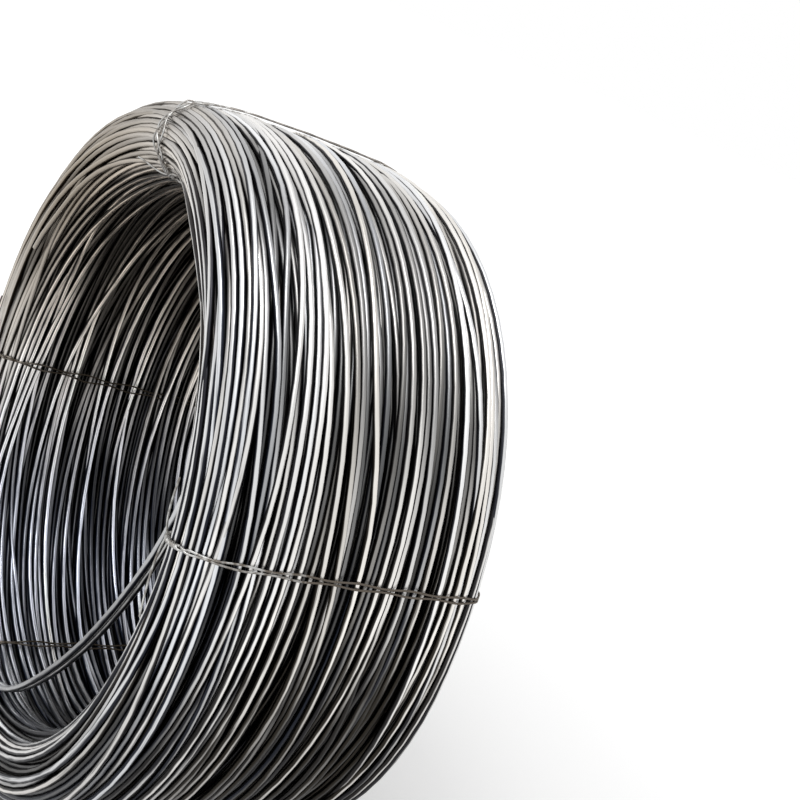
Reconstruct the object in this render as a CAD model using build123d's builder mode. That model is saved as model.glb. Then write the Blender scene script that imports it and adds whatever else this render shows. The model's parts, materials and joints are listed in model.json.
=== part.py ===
"""Coil of steel wire rod standing on its rim, bound by four hand-twisted wire ties.

Frame: millimetres, +Z up. The coil's axis runs along Y, at the height of the outer radius, so the rim
rests on z = 0 and the origin lies under the middle of the coil. The front end faces -Y.
"""

import os
from math import cos, radians, sin, sqrt

from build123d import *

# Coil: outline of the bundle and the rod it is wound from
BORE_DIAMETER = 880.0
BUNDLE_THICKNESS = 160.0
COIL_WIDTH = 500.0
END_FLAT_WIDTH = 20.0
ROD_DIAMETER = 10.0
TURN_GAP = 6.0

# Ties: annealed wire, laid twice round the bundle and shut with a hand-made twist at the front edge
TIE_WIRE_DIAMETER = 3.2
TIE_STRAND_SPACING = 5.0
TIE_GAP = 0.3
TIE_SEAT_WIDTH = 26.0
TIE_WIRE_SIDES = 6
TWIST_LENGTH = 48.0
TWIST_TURNS = 2
TWIST_STEPS_PER_TURN = 6
TIE_TOP_ANGLE = 100.0
TIE_REAR_ANGLE = 188.5
TIE_BOTTOM_ANGLE = 261.0
TIE_FRONT_ANGLE = 14.0

bore_radius = BORE_DIAMETER / 2
outer_radius = bore_radius + BUNDLE_THICKNESS
half_width = COIL_WIDTH / 2
edge_rounding = (BUNDLE_THICKNESS - END_FLAT_WIDTH) / 2
edge_along = half_width - edge_rounding
tie_radius = TIE_WIRE_DIAMETER / 2
tie_standoff = tie_radius + TIE_GAP
tie_seat_depth = TIE_WIRE_DIAMETER + TIE_GAP
outer_edge = outer_radius - edge_rounding
seat_edge = bore_radius + tie_seat_depth + edge_rounding
tie_angles = [TIE_TOP_ANGLE, TIE_REAR_ANGLE, TIE_BOTTOM_ANGLE, TIE_FRONT_ANGLE]


def end_reach(radius):
    """How far the bundle's rounded end reaches along the axis, at a distance from the axis."""
    inset = min(radius - bore_radius, outer_radius - radius)
    if inset >= edge_rounding:
        return half_width
    return edge_along + sqrt(edge_rounding**2 - (edge_rounding - inset) ** 2)


def end_points():
    """Crests and grooves of the turns on one end, as (reach, radius), from the bore to the outside."""
    count = round(BUNDLE_THICKNESS / (ROD_DIAMETER + TURN_GAP))
    pitch = BUNDLE_THICKNESS / count
    points = [(edge_along, bore_radius)]
    for turn in range(count):
        crest = bore_radius + (turn + 0.5) * pitch
        points.append((end_reach(crest), crest))
        if turn < count - 1:
            groove = crest + pitch / 2
            points.append((end_reach(groove) - ROD_DIAMETER / 2, groove))
    points.append((edge_along, outer_radius))
    return points


def tie_plane(angle, along_rim=0.0):
    """Radial plane of a tie: x runs along the coil's axis, y away from it and z along the rim."""
    outward = Vector(cos(radians(angle)), 0, sin(radians(angle)))
    plane = Plane(origin=(0, 0, outer_radius), x_dir=(0, 1, 0), z_dir=Vector(0, 1, 0).cross(outward))
    return plane.offset(along_rim)


def loop_points(standoff):
    """Taut loop round the section, as (along the axis, from the axis), with three bends at each edge."""
    bend_reach = (edge_rounding + standoff) / cos(radians(15))
    edges = [
        (-edge_along, outer_edge, 90),
        (-edge_along, seat_edge, 180),
        (edge_along, seat_edge, 270),
        (edge_along, outer_edge, 0),
    ]
    points = [(0.0, outer_radius + standoff)]
    for along, out, quarter in edges:
        for bend in (15, 45, 75):
            turn = radians(quarter + bend)
            points.append((along + bend_reach * cos(turn), out + bend_reach * sin(turn)))
    return points


def wire(points, close=False):
    """Round wire, drawn with a few flats, along straight runs between points."""
    with BuildPart() as run:
        with BuildLine() as path:
            Polyline(points, close=close)
        heading = points[1] - points[0]
        with BuildSketch(Plane(origin=points[0], z_dir=heading)):
            RegularPolygon(tie_radius, TIE_WIRE_SIDES)
        sweep(path=path.wires()[0], transition=Transition.RIGHT)
    return run.part


def tie(angle):
    """One tie: two loops side by side, and the twist that closes them, laid along the front edge."""
    with BuildPart() as loops:
        for along_rim in (-TIE_STRAND_SPACING / 2, TIE_STRAND_SPACING / 2):
            plane = tie_plane(angle, along_rim)
            add(wire([plane.from_local_coords((*point, 0)) for point in loop_points(tie_standoff)], close=True))
        lean = radians(150)
        height = edge_rounding + TIE_GAP + TIE_WIRE_DIAMETER
        along = -edge_along + height * cos(lean)
        out = outer_edge + height * sin(lean)
        twist_radius = 0.9 * tie_radius
        steps = TWIST_TURNS * TWIST_STEPS_PER_TURN
        plane = tie_plane(angle)
        for half_turn in (0, 180):
            points = []
            for step in range(steps + 1):
                turn = radians(half_turn + 360 * step / TWIST_STEPS_PER_TURN)
                rim = -TIE_STRAND_SPACING + (TWIST_LENGTH + TIE_STRAND_SPACING) * step / steps
                local = (along + twist_radius * cos(turn), out + twist_radius * sin(turn), rim)
                points.append(plane.from_local_coords(local))
            add(wire(points))
    return loops.part


# Coil: turned section, with its turns as ridges on both ends and a seat in the bore under each tie
with BuildPart() as coil:
    with BuildSketch(Plane.YZ):
        back_end = end_points()
        front_end = [(-reach, radius) for reach, radius in reversed(back_end)]
        with BuildLine():
            Polyline([(along, outer_radius + radius) for along, radius in back_end + front_end], close=True)
        make_face()
    revolve(axis=Axis((0, 0, outer_radius), (0, 1, 0)))
    for tie_angle in tie_angles:
        with BuildSketch(tie_plane(tie_angle)):
            with Locations((0, (bore_radius + seat_edge) / 2 - edge_rounding / 4)):
                Rectangle(COIL_WIDTH + edge_rounding, seat_edge - bore_radius + edge_rounding / 2)
            with BuildLine():
                Polyline(loop_points(0.0), close=True)
            make_face(mode=Mode.SUBTRACT)
        extrude(amount=TIE_SEAT_WIDTH / 2, both=True, mode=Mode.SUBTRACT)

# Ties
with BuildPart() as tie_top:
    add(tie(TIE_TOP_ANGLE))
with BuildPart() as tie_rear:
    add(tie(TIE_REAR_ANGLE))
with BuildPart() as tie_bottom:
    add(tie(TIE_BOTTOM_ANGLE))
with BuildPart() as tie_front:
    add(tie(TIE_FRONT_ANGLE))

os.makedirs("parts", exist_ok=True)
coil.part.label = "coil"
tie_top.part.label = "tie_top"
tie_rear.part.label = "tie_rear"
tie_bottom.part.label = "tie_bottom"
tie_front.part.label = "tie_front"
export_step(coil.part, "parts/coil.step")
export_step(tie_top.part, "parts/tie_top.step")
export_step(tie_rear.part, "parts/tie_rear.step")
export_step(tie_bottom.part, "parts/tie_bottom.step")
export_step(tie_front.part, "parts/tie_front.step")
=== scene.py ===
"""Dresses the coil of wire rod: one long rod laid in loose turns, and the wire ties that bind them."""

import json
from typing import NamedTuple

import bpy
import numpy as np
from mathutils import Matrix, Vector


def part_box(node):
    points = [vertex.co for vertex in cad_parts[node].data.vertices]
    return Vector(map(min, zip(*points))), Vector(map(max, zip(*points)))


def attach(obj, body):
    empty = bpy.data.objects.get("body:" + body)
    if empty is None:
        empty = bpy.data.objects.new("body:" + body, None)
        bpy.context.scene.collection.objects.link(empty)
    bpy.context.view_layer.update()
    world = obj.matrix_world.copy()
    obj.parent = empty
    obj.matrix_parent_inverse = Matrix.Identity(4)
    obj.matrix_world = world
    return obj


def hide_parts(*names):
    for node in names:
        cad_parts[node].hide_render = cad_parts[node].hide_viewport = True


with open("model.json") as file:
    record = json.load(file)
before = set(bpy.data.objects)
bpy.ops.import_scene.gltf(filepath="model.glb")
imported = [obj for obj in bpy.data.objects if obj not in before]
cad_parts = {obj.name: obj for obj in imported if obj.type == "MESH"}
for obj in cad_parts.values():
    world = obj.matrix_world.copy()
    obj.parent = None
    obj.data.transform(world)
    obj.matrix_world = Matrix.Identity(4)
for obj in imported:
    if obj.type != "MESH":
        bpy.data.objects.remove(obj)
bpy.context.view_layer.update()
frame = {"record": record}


class Tie(NamedTuple):
    """One wire tie: its angle, the share by which it draws the bundle in, and the lay of its strands.

    The twist's place is its distance from the middle radius. Spread and weave are distances to the sides.
    """

    angle: float
    pinch: float
    twist_at: float
    twist_length: float
    strands: int
    spread: float
    weave: float
    paint: str


# Sizes are in metres, and angles in degrees from +X towards +Z round the coil's axis
SEED = 7
ROD_RADIUS = 0.005
ROD_SIDES = 10

# Outline of the bundle: how far its rods stand proud, and how much thinner it is at its ends
EDGE_ROUNDING = 0.07
LEAST_ROUNDING = 0.03
PROUD = 0.004
CROWN = 0.016
LEAST_DOWNWARD = 0.5
NO_LENGTH = 1e-9

# Lay of the rod, which starts on the front end and runs towards smaller angles
ROD_START_ANGLE = 160.0
TURNS = 540
STATIONS = 80
PIECES = 5
NOISE_CUTOFF = 3
BELL_SLOPE = 1.7
RADIAL_WANDER_TURNS = 0.9
AXIAL_WANDER_TURNS = 0.6
AXIAL_WANDER = 0.03
CROSSING_TURNS = 0.3
CROSSING = 0.02

# Depth of rods under the outline, which is more in a zone low on the right, and less under the ties
SUNK_TURNS = 0.5
SUNK_DEPTH = 0.018
SUNK_SHARE = 0.8
SUNK_LOW_SHARE = 0.6
SUNK_LOW_ZONE = (330.0, 60.0)
SUNK_TIE_SHARE = 0.75

# Partings between the outer turns: places along the axis are shares of the half width, sizes are factors
PARTINGS = 14
PARTING_PLACES = (-0.8, 0.9)
PARTING_SIZES = (0.6, 1.3)
PARTING_WIDTH = 0.011
PARTING_SPAN = 26.0
PARTING_DEPTH = 0.016
HIGH_PARTING_ANGLE = 62.0
HIGH_PARTING_PLACE = -0.62
HIGH_PARTING_SIZE = 1.3

# Settling: in each round the rods give way to each other and are smoothed along their length
SETTLING_ROUNDS = 60
SETTLING_STEP = 0.7
SETTLING_SMOOTHING = 0.3
LEAST_APART = 1e-6
SMOOTHING_ROUNDS = 6
SMOOTHING = 0.5

# Slack turns in the far half of the bore
SLACK = 0.04
SLACK_ZONE = (205.0, 60.0)
SLACK_ALONG = 0.13
SLACK_ALONG_WIDTH = 0.07

# Loose turns across the bore's mouth: how far each stands into it, and how far behind the front end
LOOSE_STANDS = (0.098, 0.096)
LOOSE_ALONG = (0.038, 0.0485)
LOOSE_FROM = 16.0
LOOSE_SPAN = 94.0
LOOSE_EASE = 14.0
LOOSE_SMOOTHING_ROUNDS = 10

# The rod's cut start, which lies on the front end and springs off it a little
START_ACROSS = -0.045
START_PROUD = 0.002
START_SPRING = 0.008
START_SPRING_SPAN = 14.0
START_HELD = 80.0
START_EASED = 150.0

# The ties, twisted shut on the front end
PINCH_WIDTH = 22.0
TIE_WIRE_RADIUS = 0.0016
TIE_WIRE_SIDES = 8
TIES = {
    "tie_top": Tie(
        angle=100.0, pinch=0.16, twist_at=-0.055, twist_length=0.024,
        strands=3, spread=0.006, weave=0.013, paint="tie_worn",
    ),
    "tie_rear": Tie(
        angle=188.5, pinch=0.07, twist_at=-0.015, twist_length=0.06,
        strands=2, spread=0.003, weave=0.002, paint="tie_dirty",
    ),
    "tie_bottom": Tie(
        angle=261.0, pinch=0.07, twist_at=-0.015, twist_length=0.06,
        strands=2, spread=0.003, weave=0.002, paint="tie_dirty",
    ),
    "tie_front": Tie(
        angle=14.0, pinch=0.07, twist_at=-0.012, twist_length=0.055,
        strands=2, spread=0.0012, weave=0.0012, paint="tie_clean",
    ),
}

# Route of a tie's wire: points round it and round each rod, and closer points at the twist
TIE_POINTS = 150
ROD_CORNERS = 12
LOOSE_MARGIN = 0.01
FINE_STEP = 0.0018
FINE_GAP = 0.0005

# Strands of a tie, with reaches counted in lengths of its twist
STRAND_OFFSET = 1.3 * TIE_WIRE_RADIUS
WEAVE_LENGTH = 0.09
WEAVE_LIFT = 0.1
TWIST_PITCH = 0.014
TWIST_RADIUS = 1.6 * TIE_WIRE_RADIUS
FINE_REACH = 1.5
SPREAD_REACH = 4.0
WOUND_REACH = 0.6

# Tails of a tie: reach round the rim and height of the end.
# Their bends are a distance along the route, a height and a share of the reach.
TAILS = ((0.085, 0.010), (-0.11, 0.007))
TAIL_BENDS = ((0.006, 0.003, 0.0), (0.006, 0.012, 0.25), (0.034, 0.012, 0.6))
TAIL_END_ALONG = 0.036
TAIL_POINTS = 18

# Colours of the rod where it is worn bare, and where it is dark, scaled and with painted shade between rods
BARE_COOL = np.array([0.76, 0.775, 0.80])
BARE_WARM = np.array([0.82, 0.79, 0.745])
# Dark brown colours of the upper left are a painted reflection of the surroundings
BARE_BROWN_REFLECTION = np.array([0.27, 0.23, 0.18])
BARE_BROWN_REFLECTION_BORE = np.array([0.56, 0.48, 0.39])
# Blue colours low in the bore are a painted reflection of the surroundings
BARE_BLUE_REFLECTION = np.array([0.54, 0.58, 0.70])
BARE_BRIGHTEST = 0.95
# Dark colours between the rods: scaled steel and painted shade
SHADED_SCALE_COOL = np.array([0.020, 0.024, 0.036])
SHADED_SCALE_WARM = np.array([0.030, 0.026, 0.021])
SHADED_SCALE_BROWN_REFLECTION = np.array([0.060, 0.045, 0.030])
SHADED_SCALE_BLUE_REFLECTION = np.array([0.010, 0.014, 0.028])
# Lighter dark colour high on the outer side: painted light
SCALE_LIT = np.array([0.105, 0.105, 0.112])

# Zones of the rod's looks: angle and width, or where a zone begins and where it is full
# On the upper left, off the outer side: painted reflection of dark brown surroundings
BROWN_REFLECTION_ZONE = (138.0, 58.0)
# Low in the bore: painted reflection of blue surroundings
BLUE_REFLECTION_ZONE = (235.0, 45.0)
# Low on the right of the outer side: painted dark, warm reflection, with a narrower bright crest
LOW_DARK_REFLECTION_ZONE = (348.0, 38.0)
# High on the outer side: painted light, with a wider bright crest and lighter dark colours
LIT_ZONE = (75.0, 32.0)
INNER_ACROSS = (0.02, 0.07)
INNER_ALONG = 0.06
OUTER_ACROSS = (0.0, 0.05)
OUTER_ALONG = (-0.22, -0.12)
FREE_STAND = (0.004, 0.012)
# Range of depths over which rods deep in the bundle darken, in painted shade
DEEP = (0.004, 0.013)

# How strongly each zone tints the rod, and how much more of the rod is bare with painted light, less in
# painted shade
BARE_BROWN_REFLECTION_SHARE = 0.95
SHADED_SCALE_BROWN_REFLECTION_SHARE = 0.9
BLUE_REFLECTION_SHARE = 0.8
LIT_SHARE = 0.8
BARE_AND_LIT_MORE = {"inner": -0.3, "outer": -0.12, "low_dark_reflection": -0.28, "rim": -0.34, "lit": 0.34, "brown_reflection_rim": 0.1}
# Loose rods: painted highlight on their upper side, painted shade underneath
FREE_BARE_AND_LIT = 0.4
FREE_TOP_HIGHLIGHT = 0.6
UPPER_SIDE = np.array([0, -0.6, 0.8])

# Warmth and shade of the rod, which change along it over a number of turns
WARMTH_TURNS = 0.8
WARMTH = 0.45
WARMTH_SPREAD = 0.3
# Warmer colours in the painted dark reflection low on the right
WARMTH_LOW_DARK_REFLECTION = 0.4
SHADE_TURNS = 0.25
SHADE_SPREAD = 0.12
SHADE_SPREAD_INNER = 0.25
# In the bore the bare crests are brighter, and with their narrower band they are painted highlight lines
SHADE_INNER = 0.2
SHADE_RANGE = (0.3, 1.5)
# Painted shade on rods deep in the bundle, less of it in the lit zone
DEEP_DARK = 0.92
DEEP_DARK_LIT = 0.4
FREE_DARK = 0.66
FREE_DARK_ZONE = (320.0, 70.0)

# Streaks along the rod, in the gloss and at the edge of its bare strip
STREAKS_ALONG = 14.0
STREAKS_ROUND = 1.5
STREAK_DETAIL = 4.0
STREAK_RANGE = (0.3, 0.7)
ROD_ROUGHNESS = (0.26, 0.46)
BARE_WEAR = (0.1, -0.1)
BARE_EDGE = (0.42, 0.62)

# Paints of the ties, clean and dirty
TIE_PAINTS = {
    "tie_clean": ((0.56, 0.56, 0.55), (0.14, 0.12, 0.10)),
    "tie_worn": ((0.52, 0.52, 0.51), (0.30, 0.28, 0.26)),
    "tie_dirty": ((0.17, 0.15, 0.13), (0.05, 0.04, 0.03)),
}
PATCH_SCALE = 60.0
PATCH_DETAIL = 3.0
PATCH_RANGE = (0.4, 0.62)
DARKER_BEHIND = (-0.18, -0.03)
TIE_ROUGHNESS = (0.38, 0.62)

# Sockets of a node that mixes colours
MIX_SHARE = 0
MIX_FIRST = 6
MIX_SECOND = 7
MIX_RESULT = 2

# Floor, world and lamp
UNIT = (0.0, 1.0)
WHITE = (1, 1, 1, 1)
FLOOR_REACH = 40.0
FLOOR_COLOUR = (0.8, 0.8, 0.8, 1)
FLOOR_ROUGHNESS = 0.9
FLOOR_GLOW_DISTANCE = (0.8, 3.0)
FLOOR_GLOW = (0.45, 1.0)
WORLD_STRENGTH = (0.25, 1.0)
LAMP_PLACE = Vector((0.7, -1.2, 4.0))
LAMP_AIM = Vector((0, 0, 0.6))
LAMP_SIZE = 1.6
LAMP_POWER = 70

# Camera, with its focal length in pixels of the photo and its sensor in millimetres
CAMERA_PLACE = Vector((1.9, -0.98, 1.5))
CAMERA_HEADING = Vector((-0.7881, 0.5441, -0.2879))
CAMERA_RIGHT = Vector((0.4148, 0.8149, 0.4047))
FOCAL_PIXELS = 1338
PHOTO_PIXELS = 800
SENSOR_WIDTH = 36

random = np.random.default_rng(SEED)
coil_low, coil_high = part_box("coil")
axis_height = (coil_low.z + coil_high.z) / 2
outer_radius = (coil_high.z - coil_low.z) / 2
bore_radius = frame["record"]["mounts"][0]["dims"]["r_mm"] / 1000
half_width = (coil_high.y - coil_low.y) / 2
middle_radius = (outer_radius + bore_radius) / 2
half_wall = (outer_radius - bore_radius) / 2


def smooth_noise(count, length):
    """Noise along the rod with unit spread that changes over a length, in samples."""
    reach = int(NOISE_CUTOFF * length)
    kernel = np.exp(-0.5 * (np.arange(-reach, reach + 1) / length) ** 2)
    noise = np.convolve(random.standard_normal(count + 2 * reach), kernel, "valid")
    return noise / noise.std()


def even_spread(noise):
    """Turns bell-shaped noise into an even spread from -1 to 1."""
    return 2 / (1 + np.exp(-BELL_SLOPE * noise)) - 1


def ease(value, start, stop):
    """Smooth step from 0 at start to 1 at stop."""
    share = np.clip((value - start) / (stop - start), 0, 1)
    return share * share * (3 - 2 * share)


def soften(line, share):
    """Moves the samples of a line, in place, by a share of the way to the middle of their neighbours."""
    line[1:-1] = (1 - share) * line[1:-1] + share / 2 * (line[:-2] + line[2:])


def angle_off(angle, centre):
    """Signed difference of two angles, from -180 to 180."""
    return (angle - centre + 180) % 360 - 180


def zone(angle, centre, width):
    """1 at the centre of a zone round the axis, and softly down to 0 on both sides."""
    return np.exp(-((angle_off(angle, centre) / width) ** 2))


def pinch(angle):
    """Share by which the ties draw the bundle in at an angle."""
    return np.max([tie.pinch * zone(angle, tie.angle, PINCH_WIDTH) for tie in TIES.values()], 0)


def near_tie(angle):
    """1 under a tie and 0 away from them all."""
    return np.max([zone(angle, tie.angle, PINCH_WIDTH) for tie in TIES.values()], 0)


def slack(angle, axial):
    """How far slack turns stand into the bore, at an angle and a place along the axis."""
    along_share = np.exp(-(((axial - SLACK_ALONG) / SLACK_ALONG_WIDTH) ** 2))
    return SLACK * zone(angle, *SLACK_ZONE) * along_share


def section(angle, radial, axial, inset):
    """Half thickness, half width and edge rounding of the bundle at an angle, on the side of a point.

    Low on the outer side the thickness ends at the floor.
    """
    drawn = pinch(angle)
    across = half_wall * (1 - drawn) + PROUD - inset - CROWN * (axial / half_width) ** 2
    downward = np.maximum(-np.sin(np.radians(angle)), LEAST_DOWNWARD)
    floor_reach = axis_height / downward - middle_radius - inset
    across = np.where(radial < 0, across + slack(angle, axial), np.minimum(across, floor_reach))
    along = half_width * (1 - drawn / 2) + PROUD - inset
    return across, along, np.maximum(EDGE_ROUNDING - inset, LEAST_ROUNDING)


def front_of(angle, radial):
    """Place along the axis of the bundle's front end, at an angle and a distance from the middle radius."""
    across, along, rounding = section(angle, radial, np.full_like(angle, -half_width), 0.0)
    past = np.clip(np.abs(radial) - (across - rounding), 0, rounding)
    return -(along - rounding + np.sqrt(rounding**2 - past**2))


def keep_in_bundle(angle, radial, axial, inset):
    """Moves rod centres that stand outside the bundle's rounded section back onto it."""
    across, along, rounding = section(angle, radial, axial, inset)
    past_across = np.abs(radial) - (across - rounding)
    past_along = np.abs(axial) - (along - rounding)
    in_edge = (past_across > 0) & (past_along > 0)
    reach = np.hypot(np.maximum(past_across, 0), np.maximum(past_along, 0))
    shrink = np.where(in_edge & (reach > rounding), rounding / np.maximum(reach, NO_LENGTH), 1.0)
    edge_across = np.sign(radial) * (across - rounding + past_across * shrink)
    edge_along = np.sign(axial) * (along - rounding + past_along * shrink)
    radial = np.where(in_edge, edge_across, np.clip(radial, -across, across))
    axial = np.where(in_edge, edge_along, np.clip(axial, -along, along))
    return radial, axial


def depth_in_bundle(angle, radial, axial):
    """How deep points lie under the bundle's rounded outline."""
    across, along, rounding = section(angle, radial, axial, 0.0)
    past_across = np.abs(radial) - (across - rounding)
    past_along = np.abs(axial) - (along - rounding)
    outside = np.hypot(np.maximum(past_across, 0), np.maximum(past_along, 0))
    return rounding - outside - np.minimum(np.maximum(past_across, past_along), 0)


def way_out(angle, radial, axial):
    """Direction straight out of the bundle's outline near points, across and along."""
    across, along, rounding = section(angle, radial, axial, 0.0)
    past_across = np.abs(radial) - (across - rounding)
    past_along = np.abs(axial) - (along - rounding)
    in_edge = (past_across > 0) & (past_along > 0)
    reach = np.maximum(np.hypot(past_across, past_along), NO_LENGTH)
    flat = past_across > past_along
    out_across = np.where(in_edge, past_across / reach, flat)
    out_along = np.where(in_edge, past_along / reach, ~flat)
    return np.sign(radial) * out_across, np.sign(axial) * out_along


def pick_partings():
    """Partings as (angle, place along the axis, size): random ones, and one high on the outer side."""
    centres = random.uniform(0, 360, PARTINGS)
    places = random.uniform(*PARTING_PLACES, PARTINGS) * half_width
    sizes = random.uniform(*PARTING_SIZES, PARTINGS)
    high = (HIGH_PARTING_ANGLE, HIGH_PARTING_PLACE * half_width, HIGH_PARTING_SIZE)
    return [*zip(centres, places, sizes), high]


def part_turns(angle, radial, axial, partings):
    """Moves rods near the outside out of long, narrow partings between the turns."""
    top = radial > half_wall * (1 - pinch(angle)) - CROWN * (axial / half_width) ** 2 - PARTING_DEPTH
    for centre, along, size in partings:
        off = angle_off(angle, centre) / (PARTING_SPAN * size)
        reach = PARTING_WIDTH * size * np.maximum(1 - off**2, 0)
        past = axial - along
        inside = top & (np.abs(past) < reach)
        axial = np.where(inside, along + np.where(past < 0, -reach, reach), axial)
    return axial


def push_apart(radial, axial):
    """One round of moving rods apart where they lie in each other, at one station."""
    across = radial[:, None] - radial[None, :]
    along = axial[:, None] - axial[None, :]
    apart = np.hypot(across, along)
    np.fill_diagonal(apart, 1.0)
    # Each of two rods gives way by half
    push = np.maximum(2 * ROD_RADIUS - apart, 0) / np.maximum(apart, LEAST_APART) * 0.5
    return radial + (across * push).sum(1) * SETTLING_STEP, axial + (along * push).sum(1) * SETTLING_STEP


def lay_rod():
    """The rod's line, turn after turn: angle, distance from the middle radius and distance along the axis."""
    count = TURNS * STATIONS
    sample = np.arange(count)
    angle = ROD_START_ANGLE - 360 * sample / STATIONS
    wander = even_spread(smooth_noise(count, RADIAL_WANDER_TURNS * STATIONS / 2))
    radial = (half_wall - ROD_RADIUS) * wander
    axial = (2 * sample / count - 1) * (half_width - ROD_RADIUS)
    axial += AXIAL_WANDER * smooth_noise(count, AXIAL_WANDER_TURNS * STATIONS / 2)
    axial += CROSSING * smooth_noise(count, CROSSING_TURNS * STATIONS / 2)
    radial *= 1 + np.where(radial < 0, slack(angle, axial) / half_wall, 0)
    sunk = SUNK_DEPTH * (1 + even_spread(smooth_noise(count, SUNK_TURNS * STATIONS / 2))) / 2
    low = SUNK_SHARE + SUNK_LOW_SHARE * zone(angle, *SUNK_LOW_ZONE)
    sunk *= low * (1 - SUNK_TIE_SHARE * near_tie(angle))
    partings = pick_partings()
    for _ in range(SETTLING_ROUNDS):
        for station in range(STATIONS):
            here = slice(station, None, STATIONS)
            radial[here], axial[here] = push_apart(radial[here], axial[here])
        for line in (radial, axial):
            soften(line, SETTLING_SMOOTHING)
        axial = part_turns(angle, radial, axial, partings)
        radial, axial = keep_in_bundle(angle, radial, axial, ROD_RADIUS + sunk)
    for _ in range(SMOOTHING_ROUNDS):
        for line in (radial, axial):
            soften(line, SMOOTHING)
    return angle, radial, axial


def loosen(angle, radial, axial):
    """Lets the turns nearest the bore's front edge stand across its mouth, nearly straight."""
    span = round(LOOSE_SPAN / 360 * STATIONS)
    lead = round(LOOSE_EASE / 360 * STATIONS)
    first = round((ROD_START_ANGLE - LOOSE_FROM) % 360 / 360 * STATIONS)
    starts = np.arange(first, len(angle) - span - lead, STATIONS)
    off = [np.hypot(radial[end] + half_wall, axial[end] + half_width) for end in (starts, starts + span)]
    nearest = starts[np.argsort(off[0] + off[1])]
    half_span = np.radians(LOOSE_SPAN / 2)
    for start, stand, along in zip(nearest, LOOSE_STANDS, LOOSE_ALONG):
        part = slice(start - lead, start + span + lead)
        run = (np.arange(part.start, part.stop) - start) / span
        ends = lead / span
        share = ease(run, -ends, 0) * ease(-run, -1 - ends, -1)
        off_middle = half_span * (2 * np.clip(run, 0, 1) - 1)
        bow = (1 - np.cos(half_span) / np.cos(off_middle)) / (1 - np.cos(half_span))
        radial[part] += share * (-half_wall + ROD_RADIUS - stand * bow - radial[part])
        axial[part] += share * (-half_width + along - axial[part])
        for _ in range(LOOSE_SMOOTHING_ROUNDS):
            for line in (radial[part], axial[part]):
                soften(line, SMOOTHING)


def lay_start(angle, radial, axial):
    """Lays the rod's cut start on the front end."""
    part = slice(0, STATIONS // 2)
    run = ROD_START_ANGLE - angle[part]
    share = ease(-run, -START_EASED, -START_HELD)
    spring = START_SPRING * ease(-run, -START_SPRING_SPAN, 0)
    radial[part] += share * (START_ACROSS - radial[part])
    axial[part] += share * (front_of(angle[part], radial[part]) - START_PROUD - spring - axial[part])


def to_frame(angle, radial, axial):
    """Points of the row's frame from an angle, a distance from the middle radius and one along the axis."""
    turn = np.radians(angle)
    distance = middle_radius + radial
    return np.stack([distance * np.cos(turn), axial, axis_height + distance * np.sin(turn)], -1)


def tube(points, side_hint, radius, sides):
    """Vertices, side faces and end caps of a round tube along points, with a direction across at each."""
    heading = np.gradient(points, axis=0)
    heading /= np.linalg.norm(heading, axis=1, keepdims=True)
    out = side_hint - (side_hint * heading).sum(1, keepdims=True) * heading
    out /= np.linalg.norm(out, axis=1, keepdims=True)
    side = np.cross(heading, out)
    turn = np.arange(sides) * 2 * np.pi / sides
    ring = out[:, None] * np.cos(turn)[:, None] + side[:, None] * np.sin(turn)[:, None]
    rings = points[:, None] + radius * ring
    vertices = np.concatenate([rings.reshape(-1, 3), rings[0], rings[-1]])
    first = np.arange(len(points) - 1)[:, None] * sides
    here = first + np.arange(sides)
    ahead = first + (np.arange(sides) + 1) % sides
    quads = np.stack([here, ahead, ahead + sides, here + sides], -1).reshape(-1, 4)
    last = len(points) * sides
    caps = np.stack([last + np.arange(sides)[::-1], last + sides + np.arange(sides)])
    return vertices, quads, caps


def add_mesh(name, tubes, material):
    """One mesh object from tubes: smooth round the sides and flat on the ends."""
    starts = np.cumsum([0] + [len(vertices) for vertices, _, _ in tubes])
    vertices = np.concatenate([vertices for vertices, _, _ in tubes])
    quads = np.concatenate([quads + start for (_, quads, _), start in zip(tubes, starts)])
    caps = np.concatenate([caps + start for (_, _, caps), start in zip(tubes, starts)])
    corners = np.concatenate([quads.ravel(), caps.ravel()])
    sizes = np.concatenate([np.full(len(quads), 4), np.full(len(caps), caps.shape[1])])
    loop_starts = np.concatenate([[0], np.cumsum(sizes)[:-1]])
    mesh = bpy.data.meshes.new(name)
    mesh.vertices.add(len(vertices))
    mesh.vertices.foreach_set("co", vertices.ravel())
    mesh.loops.add(len(corners))
    mesh.loops.foreach_set("vertex_index", corners.astype(np.int32))
    mesh.polygons.add(len(sizes))
    mesh.polygons.foreach_set("loop_start", loop_starts.astype(np.int32))
    mesh.update(calc_edges=True)
    mesh.polygons.foreach_set("use_smooth", sizes == 4)
    mesh.materials.append(material)
    piece = bpy.data.objects.new(name, mesh)
    bpy.context.collection.objects.link(piece)
    return piece


def fill(owner, socket, value):
    """Links an input of a shader node to another socket, or sets it to a value."""
    if isinstance(value, bpy.types.NodeSocket):
        owner.node_tree.links.new(value, socket)
    else:
        socket.default_value = value


def node(owner, kind, **inputs):
    """A shader node of a material or world, with the given inputs filled."""
    made = owner.node_tree.nodes.new(kind)
    for name, value in inputs.items():
        fill(owner, made.inputs[name.replace("_", " ")], value)
    return made


def ranged(owner, value, given, wanted=UNIT, curve="LINEAR"):
    """Socket that brings a value from a given range to a wanted one."""
    made = node(owner, "ShaderNodeMapRange", Value=value, From_Min=given[0], From_Max=given[1])
    made.inputs["To Min"].default_value = wanted[0]
    made.inputs["To Max"].default_value = wanted[1]
    made.interpolation_type = curve
    return made.outputs["Result"]


def combine(owner, operation, first, second, clamp=False):
    """Socket with the sum or product of two others."""
    made = node(owner, "ShaderNodeMath")
    made.operation = operation
    made.use_clamp = clamp
    fill(owner, made.inputs[0], first)
    fill(owner, made.inputs[1], second)
    return made.outputs[0]


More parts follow.
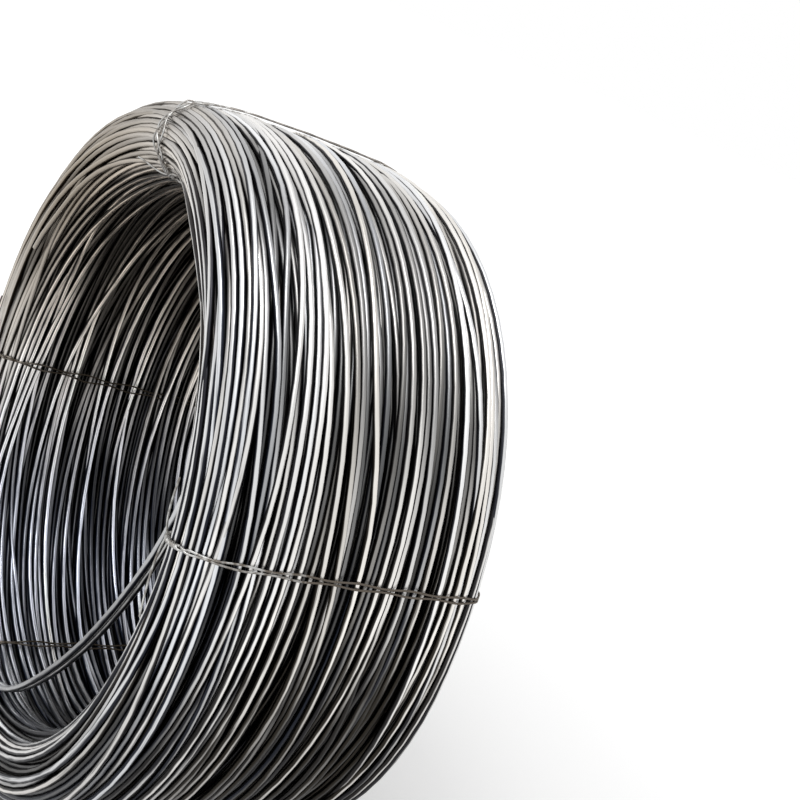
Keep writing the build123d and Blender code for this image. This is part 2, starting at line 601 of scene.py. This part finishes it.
def mix_colours(owner, share, first, second):
    """Socket with a colour between two, by a share of the second."""
    made = node(owner, "ShaderNodeMix")
    made.data_type = "RGBA"
    fill(owner, made.inputs[MIX_SHARE], share)
    fill(owner, made.inputs[MIX_FIRST], first)
    fill(owner, made.inputs[MIX_SECOND], second)
    return made.outputs[MIX_RESULT]


def new_material(name, metallic):
    """A material, and the inputs of its shader."""
    material = bpy.data.materials.new(name)
    material.use_nodes = True
    inputs = material.node_tree.nodes["Principled BSDF"].inputs
    inputs["Metallic"].default_value = metallic
    return material, inputs


def rod_paint():
    """Steel of the rod: bare on the crests of the outer turns with painted light there, and dark between
    them, scaled and with painted shade.
    """
    material, inputs = new_material("rod_steel", 1.0)
    layers = {}
    for name in ("bare", "shaded_scale", "bare_and_lit", "lay"):
        layers[name] = node(material, "ShaderNodeAttribute")
        layers[name].attribute_name = name
    lay = layers["lay"].outputs["Vector"]
    streaks = node(material, "ShaderNodeTexNoise", Vector=lay, Scale=1.0, Detail=STREAK_DETAIL)
    gloss = ranged(material, streaks.outputs["Fac"], STREAK_RANGE, ROD_ROUGHNESS)
    wear = ranged(material, streaks.outputs["Fac"], STREAK_RANGE, BARE_WEAR)
    # The bright crest is worn bare steel with painted light; the dark colour is scaled steel with painted
    # shade
    bare_and_lit = combine(material, "ADD", layers["bare_and_lit"].outputs["Fac"], wear)
    cover = ranged(material, bare_and_lit, BARE_EDGE, curve="SMOOTHSTEP")
    colour = mix_colours(material, cover, layers["shaded_scale"].outputs["Color"], layers["bare"].outputs["Color"])
    fill(material, inputs["Base Color"], colour)
    fill(material, inputs["Roughness"], gloss)
    return material


def tie_paint(name, clean, dirty):
    """Annealed wire, clean and dirty by turns along its length, and darker towards the back."""
    material, inputs = new_material(name, 1.0)
    place = node(material, "ShaderNodeNewGeometry").outputs["Position"]
    noise = node(material, "ShaderNodeTexNoise", Vector=place, Scale=PATCH_SCALE, Detail=PATCH_DETAIL)
    patches = ranged(material, noise.outputs["Fac"], PATCH_RANGE)
    axes = node(material, "ShaderNodeSeparateXYZ", Vector=place)
    # Darker towards the back of the coil
    behind = ranged(material, axes.outputs["Y"], DARKER_BEHIND)
    share = combine(material, "ADD", patches, behind, clamp=True)
    fill(material, inputs["Base Color"], mix_colours(material, share, (*clean, 1), (*dirty, 1)))
    fill(material, inputs["Roughness"], ranged(material, share, UNIT, TIE_ROUGHNESS))
    return material


def blend(first, second, share):
    """Colours between two, at each point's share of the second."""
    return first * (1 - share[:, None]) + second * share[:, None]


def look_zones(angle, radial, axial):
    """Shares from 0 to 1 by which points of the rod lie in each zone of its looks."""
    inner = ease(-radial, *INNER_ACROSS) * ease(axial, -half_width, -half_width + INNER_ALONG)
    outer = ease(radial, *OUTER_ACROSS) * ease(axial, *OUTER_ALONG)
    # Painted reflection of dark brown surroundings on the upper left, off the outer side
    brown_reflection = zone(angle, *BROWN_REFLECTION_ZONE) * (1 - outer)
    return {
        "inner": inner,
        "outer": outer,
        "rim": (1 - inner) * (1 - outer) * (1 - brown_reflection),
        "brown_reflection": brown_reflection,
        "brown_reflection_rim": brown_reflection * (1 - inner),
        # Painted reflection of blue surroundings low in the bore
        "blue_reflection": zone(angle, *BLUE_REFLECTION_ZONE) * inner,
        # Painted dark, warm reflection low on the right of the outer side
        "low_dark_reflection": zone(angle, *LOW_DARK_REFLECTION_ZONE) * outer,
        "lit": zone(angle, *LIT_ZONE) * outer,
    }


def rod_colours(zones, warmth, shade):
    """Colours of the rod's points where it is bare, and where it is dark, scaled and with painted shade."""
    bare = blend(blend(BARE_COOL, BARE_WARM, warmth), BARE_BLUE_REFLECTION, BLUE_REFLECTION_SHARE * zones["blue_reflection"])
    bare_brown_reflection = blend(BARE_BROWN_REFLECTION, BARE_BROWN_REFLECTION_BORE, zones["inner"])
    bare = blend(bare, bare_brown_reflection, BARE_BROWN_REFLECTION_SHARE * zones["brown_reflection"])
    bare = np.minimum(bare * shade[:, None], BARE_BRIGHTEST)
    shaded_scale = blend(blend(SHADED_SCALE_COOL, SHADED_SCALE_WARM, warmth), SHADED_SCALE_BLUE_REFLECTION, BLUE_REFLECTION_SHARE * zones["blue_reflection"])
    shaded_scale_brown_reflection = blend(SHADED_SCALE_BROWN_REFLECTION, SHADED_SCALE_WARM, zones["inner"])
    shaded_scale = blend(shaded_scale, shaded_scale_brown_reflection, SHADED_SCALE_BROWN_REFLECTION_SHARE * zones["brown_reflection"])
    shaded_scale = blend(shaded_scale, SCALE_LIT, LIT_SHARE * zones["lit"])
    return np.maximum(bare, shaded_scale), shaded_scale


def add_layer(piece, name, kind, field, values):
    """Stores values at a piece's points, for its paint."""
    layer = piece.data.attributes.new(name, kind, "POINT")
    layer.data.foreach_set(field, values.ravel())


def paint(piece, part):
    """Says where a stretch of the rod is worn bare with painted light on its crests, and where it is dark,
    scaled and with painted shade, and in which colours.
    """
    place = np.empty(len(piece.data.vertices) * 3)
    piece.data.vertices.foreach_get("co", place)
    place = place.reshape(-1, 3)
    ends = np.repeat([part.start, part.stop - 1], ROD_SIDES)
    sample = np.concatenate([np.repeat(np.arange(part.start, part.stop), ROD_SIDES), ends])
    axial = place[:, 1]
    up = place[:, 2] - axis_height
    angle = np.degrees(np.arctan2(up, place[:, 0]))
    radial = np.hypot(place[:, 0], up) - middle_radius

    # Where a point lies on its rod, and how deep the rod lies in the bundle
    middle_across = rod_radial[sample]
    middle_along = rod_axial[sample]
    out_across, out_along = way_out(angle, middle_across, middle_along)
    crest = ((radial - middle_across) * out_across + (axial - middle_along) * out_along) / ROD_RADIUS
    upper = (place - rod_points[sample]) @ UPPER_SIDE / ROD_RADIUS
    depth = depth_in_bundle(angle, middle_across, middle_along) - ROD_RADIUS
    free = ease(-depth, *FREE_STAND)
    zones = look_zones(angle, radial, axial)
    # Crests facing out of the bundle get painted light, flanks painted shade between the rods; zones widen or
    # narrow the crest
    bare_and_lit = crest
    for name, more in BARE_AND_LIT_MORE.items():
        bare_and_lit = bare_and_lit + more * zones[name]
    # Painted highlight on the upper side of loose rods, painted shade under them
    bare_and_lit = np.maximum(bare_and_lit, free * (FREE_BARE_AND_LIT + FREE_TOP_HIGHLIGHT * upper))

    # Colours
    warmth = np.clip(WARMTH + WARMTH_SPREAD * rod_warmth[sample] + WARMTH_LOW_DARK_REFLECTION * zones["low_dark_reflection"], 0, 1)
    spread = SHADE_SPREAD + SHADE_SPREAD_INNER * zones["inner"]
    shade = np.clip(1 + SHADE_INNER * zones["inner"] + spread * rod_shade[sample], *SHADE_RANGE)
    # Painted shade on rods deep in the bundle
    shade *= 1 - DEEP_DARK * ease(depth, *DEEP) * (1 - DEEP_DARK_LIT * zones["lit"])
    shade *= 1 - FREE_DARK * free * zone(angle, *FREE_DARK_ZONE)
    bare, shaded_scale = rod_colours(zones, warmth, shade)
    opaque = np.ones((len(place), 1))
    add_layer(piece, "bare", "FLOAT_COLOR", "color", np.concatenate([bare, opaque], 1))
    add_layer(piece, "shaded_scale", "FLOAT_COLOR", "color", np.concatenate([shaded_scale, opaque], 1))
    add_layer(piece, "bare_and_lit", "FLOAT", "value", bare_and_lit)

    # Place of a point along and round its rod, for the streaks
    run = sample * 2 * np.pi * middle_radius / STATIONS
    turn = np.tile(np.arange(ROD_SIDES) * 2 * np.pi / ROD_SIDES, len(sample) // ROD_SIDES)
    lay = [run * STREAKS_ALONG, STREAKS_ROUND * np.cos(turn), STREAKS_ROUND * np.sin(turn)]
    add_layer(piece, "lay", "FLOAT_VECTOR", "vector", np.stack(lay, -1))


def hull(points):
    """Corners of the smallest convex outline round points in a plane, counter-clockwise."""
    ordered = points[np.lexsort((points[:, 1], points[:, 0]))]
    outline = []
    for run in (ordered, ordered[::-1]):
        half = []
        for point in run:
            while len(half) > 1:
                last = half[-1] - half[-2]
                step = point - half[-2]
                if last[0] * step[1] - last[1] * step[0] > 0:
                    break
                half.pop()
            half.append(point)
        outline += half[:-1]
    return np.array(outline)


def taut_loop(angle):
    """Closed line of a wire drawn tight round the turns at an angle, and the distances to its corners."""
    station = (ROD_START_ANGLE - angle) % 360 / 360 * STATIONS
    before = int(station) % STATIONS
    after = (before + 1) % STATIONS
    share = station % 1
    near = np.stack([rod_radial[before::STATIONS], rod_axial[before::STATIONS]], -1)
    far = np.stack([rod_radial[after::STATIONS], rod_axial[after::STATIONS]], -1)
    centres = near * (1 - share) + far * share
    centres = centres[centres[:, 0] > -half_wall - LOOSE_MARGIN]
    bend = np.arange(ROD_CORNERS) * 2 * np.pi / ROD_CORNERS
    stand = ROD_RADIUS + TIE_WIRE_RADIUS
    around = centres[:, None] + stand * np.stack([np.cos(bend), np.sin(bend)], -1)
    outline = hull(around.reshape(-1, 2))
    outline = np.vstack([outline, outline[:1]])
    length = np.concatenate([[0], np.cumsum(np.linalg.norm(np.diff(outline, axis=0), axis=1))])
    return outline, length


def tie_route(tie):
    """Closed route of a tie in the plane of its section, with closer points where it is twisted.

    Gives distances along the route, its points, directions straight off the turns there, the distance at the
    middle of the twist, and the route's length.
    """
    outline, length = taut_loop(tie.angle)

    def points_at(distance):
        """Points of the route at distances along it."""
        return np.stack([np.interp(distance, length, column) for column in outline.T], -1)

    coarse = np.linspace(0, length[-1], TIE_POINTS)
    line = points_at(coarse)
    off_twist = np.where(line[:, 1] < 0, np.abs(line[:, 0] - tie.twist_at), np.inf)
    middle = coarse[off_twist.argmin()]
    reach = FINE_REACH * tie.twist_length
    fine = np.arange(middle - reach, middle + reach, FINE_STEP)
    at = np.sort(np.concatenate([coarse[np.abs(coarse - middle) > reach + FINE_GAP], fine]))
    line = points_at(at)
    ahead = np.gradient(line, axis=0)
    ahead /= np.linalg.norm(ahead, axis=1, keepdims=True)
    out = np.stack([ahead[:, 1], -ahead[:, 0]], -1)
    return at, line, out, middle, length[-1]


def bezier(corners, count):
    """Points on a smooth curve from the first of four corners to the last."""
    share = np.linspace(0, 1, count)[:, None]
    rest = 1 - share
    weights = [rest**3, 3 * rest**2 * share, 3 * rest * share**2, share**3]
    return sum(weight * corner for weight, corner in zip(weights, corners))


def tie_tails(tie, off, line, out):
    """Tubes of a tie's two loose ends, which leave its twist and lie over the turns on both sides."""

    def beside(along, lift, round_rim):
        """Point near the twist's end, at distances along the route, off the turns and round the rim."""
        here = np.abs(off + tie.twist_length / 2 - along).argmin()
        lifted = line[here] + lift * out[here]
        angle = tie.angle + np.degrees(round_rim / middle_radius)
        return to_frame(np.array(angle), lifted[0], lifted[1])

    side_hint = np.tile(beside(0.0, 1.0, 0.0) - beside(0.0, 0.0, 0.0), (TAIL_POINTS, 1))
    tubes = []
    for reach, height in TAILS:
        corners = [beside(along, lift, share * reach) for along, lift, share in TAIL_BENDS]
        corners.append(beside(TAIL_END_ALONG, height, reach))
        tubes.append(tube(bezier(corners, TAIL_POINTS), side_hint, TIE_WIRE_RADIUS, TIE_WIRE_SIDES))
    return tubes


def tie_tubes(tie):
    """Tubes of one tie: strands round the bundle, twisted together on the front end, and two loose tails.

    One more strand is wound into the twist than goes round the bundle.
    """
    at, line, out, middle, whole = tie_route(tie)
    off = at - middle
    twisted = 1 - ease(np.abs(off), tie.twist_length / 2, tie.twist_length)
    apart = ease(np.abs(off), tie.twist_length / 2, SPREAD_REACH * tie.twist_length)
    turn = np.radians(tie.angle)
    rim = np.array([-np.sin(turn), 0, np.cos(turn)])
    waves = round(whole / WEAVE_LENGTH)
    wound = tie.strands + 1
    tubes = []
    for strand in range(wound):
        place = 2 * strand / (tie.strands - 1) - 1
        wave = tie.weave * np.sin(2 * np.pi * (at * waves / whole + strand / tie.strands))
        lay_side = place * (STRAND_OFFSET + tie.spread * apart) + wave * (1 - twisted)
        whirl = 2 * np.pi * (off / TWIST_PITCH + strand / wound)
        side = lay_side * (1 - twisted) + twisted * TWIST_RADIUS * np.cos(whirl)
        lift = twisted * TWIST_RADIUS * (1 + np.sin(whirl)) + (1 - twisted) * tie.weave * WEAVE_LIFT
        lifted = line + lift[:, None] * out
        points = to_frame(np.full(len(at), tie.angle), lifted[:, 0], lifted[:, 1]) + side[:, None] * rim
        if strand == tie.strands:
            points = points[np.abs(off) < WOUND_REACH * tie.twist_length]
        tubes.append(tube(points, np.tile(rim, (len(points), 1)), TIE_WIRE_RADIUS, TIE_WIRE_SIDES))
    return tubes + tie_tails(tie, off, line, out)


def seen(owner):
    """1 for rays from the eye, reflections and refractions, and 0 for the light that falls on things."""
    path = node(owner, "ShaderNodeLightPath")
    direct = combine(owner, "ADD", path.outputs["Is Camera Ray"], path.outputs["Is Glossy Ray"])
    return combine(owner, "ADD", direct, path.outputs["Is Transmission Ray"], clamp=True)


def add_floor():
    """Pale floor that keeps the object's shadow, and is white to the eye further off."""
    material, inputs = new_material("floor", 0.0)
    inputs["Base Color"].default_value = FLOOR_COLOUR
    inputs["Roughness"].default_value = FLOOR_ROUGHNESS
    inputs["Specular IOR Level"].default_value = 0.0
    inputs["Emission Color"].default_value = WHITE
    distance = node(material, "ShaderNodeVectorMath")
    distance.operation = "LENGTH"
    fill(material, distance.inputs[0], node(material, "ShaderNodeNewGeometry").outputs["Position"])
    glow = ranged(material, distance.outputs["Value"], FLOOR_GLOW_DISTANCE, FLOOR_GLOW)
    fill(material, inputs["Emission Strength"], combine(material, "MULTIPLY", glow, seen(material)))
    sides = ((-1, -1), (1, -1), (1, 1), (-1, 1))
    mesh = bpy.data.meshes.new("floor")
    mesh.from_pydata([(FLOOR_REACH * x, FLOOR_REACH * y, 0) for x, y in sides], [], [(0, 1, 2, 3)])
    mesh.materials.append(material)
    floor = bpy.data.objects.new("floor", mesh)
    bpy.context.collection.objects.link(floor)
    return floor


def add_world():
    """World that is white to the eye and in reflections, and lights things softly."""
    world = bpy.data.worlds.new("world")
    bpy.context.scene.world = world
    world.use_nodes = True
    background = world.node_tree.nodes["Background"]
    background.inputs["Color"].default_value = WHITE
    fill(world, background.inputs["Strength"], ranged(world, seen(world), UNIT, WORLD_STRENGTH))


def add_lamp():
    """Large soft lamp above the front of the coil."""
    light = bpy.data.lights.new("key", "AREA")
    light.size = LAMP_SIZE
    light.energy = LAMP_POWER
    lamp = bpy.data.objects.new("key", light)
    lamp.location = LAMP_PLACE
    lamp.rotation_euler = (LAMP_AIM - LAMP_PLACE).to_track_quat("-Z", "Y").to_euler()
    bpy.context.collection.objects.link(lamp)


def add_camera():
    """Camera at the photo's viewing angle."""
    data = bpy.data.cameras.new("camera")
    data.sensor_width = SENSOR_WIDTH
    data.lens = SENSOR_WIDTH * FOCAL_PIXELS / PHOTO_PIXELS
    camera = bpy.data.objects.new("camera", data)
    back = -CAMERA_HEADING.normalized()
    right = (CAMERA_RIGHT - CAMERA_RIGHT.dot(back) * back).normalized()
    turned = Matrix((right, back.cross(right), back)).transposed().to_4x4()
    camera.matrix_world = Matrix.Translation(CAMERA_PLACE) @ turned
    bpy.context.collection.objects.link(camera)
    bpy.context.scene.camera = camera


# The rod, in stretches that are meshes of their own
rod_angle, rod_radial, rod_axial = lay_rod()
loosen(rod_angle, rod_radial, rod_axial)
lay_start(rod_angle, rod_radial, rod_axial)
rod_points = to_frame(rod_angle, rod_radial, rod_axial)
rod_turn = np.radians(rod_angle)
rod_outward = np.stack([np.cos(rod_turn), np.zeros_like(rod_turn), np.sin(rod_turn)], -1)
rod_shade = smooth_noise(len(rod_points), SHADE_TURNS * STATIONS)
rod_warmth = smooth_noise(len(rod_points), WARMTH_TURNS * STATIONS)
rod_steel = rod_paint()
cuts = np.linspace(0, len(rod_points) - 1, PIECES + 1).astype(int)
for number, (start, stop) in enumerate(zip(cuts[:-1], cuts[1:]), 1):
    part = slice(start, stop + 1)
    stretch = tube(rod_points[part], rod_outward[part], ROD_RADIUS, ROD_SIDES)
    turns = add_mesh(f"turns_{number}", [stretch], rod_steel)
    paint(turns, part)
    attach(turns, "root")
    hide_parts("coil")

# The ties
tie_paints = {name: tie_paint(name, *colours) for name, colours in TIE_PAINTS.items()}
for name, tie in TIES.items():
    wires = add_mesh(f"{name}_wires", tie_tubes(tie), tie_paints[tie.paint])
    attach(wires, "root")
    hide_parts(name)

# The stage
floor = add_floor()
add_world()
add_lamp()
add_camera()
bpy.context.scene.view_settings.view_transform = "Standard"
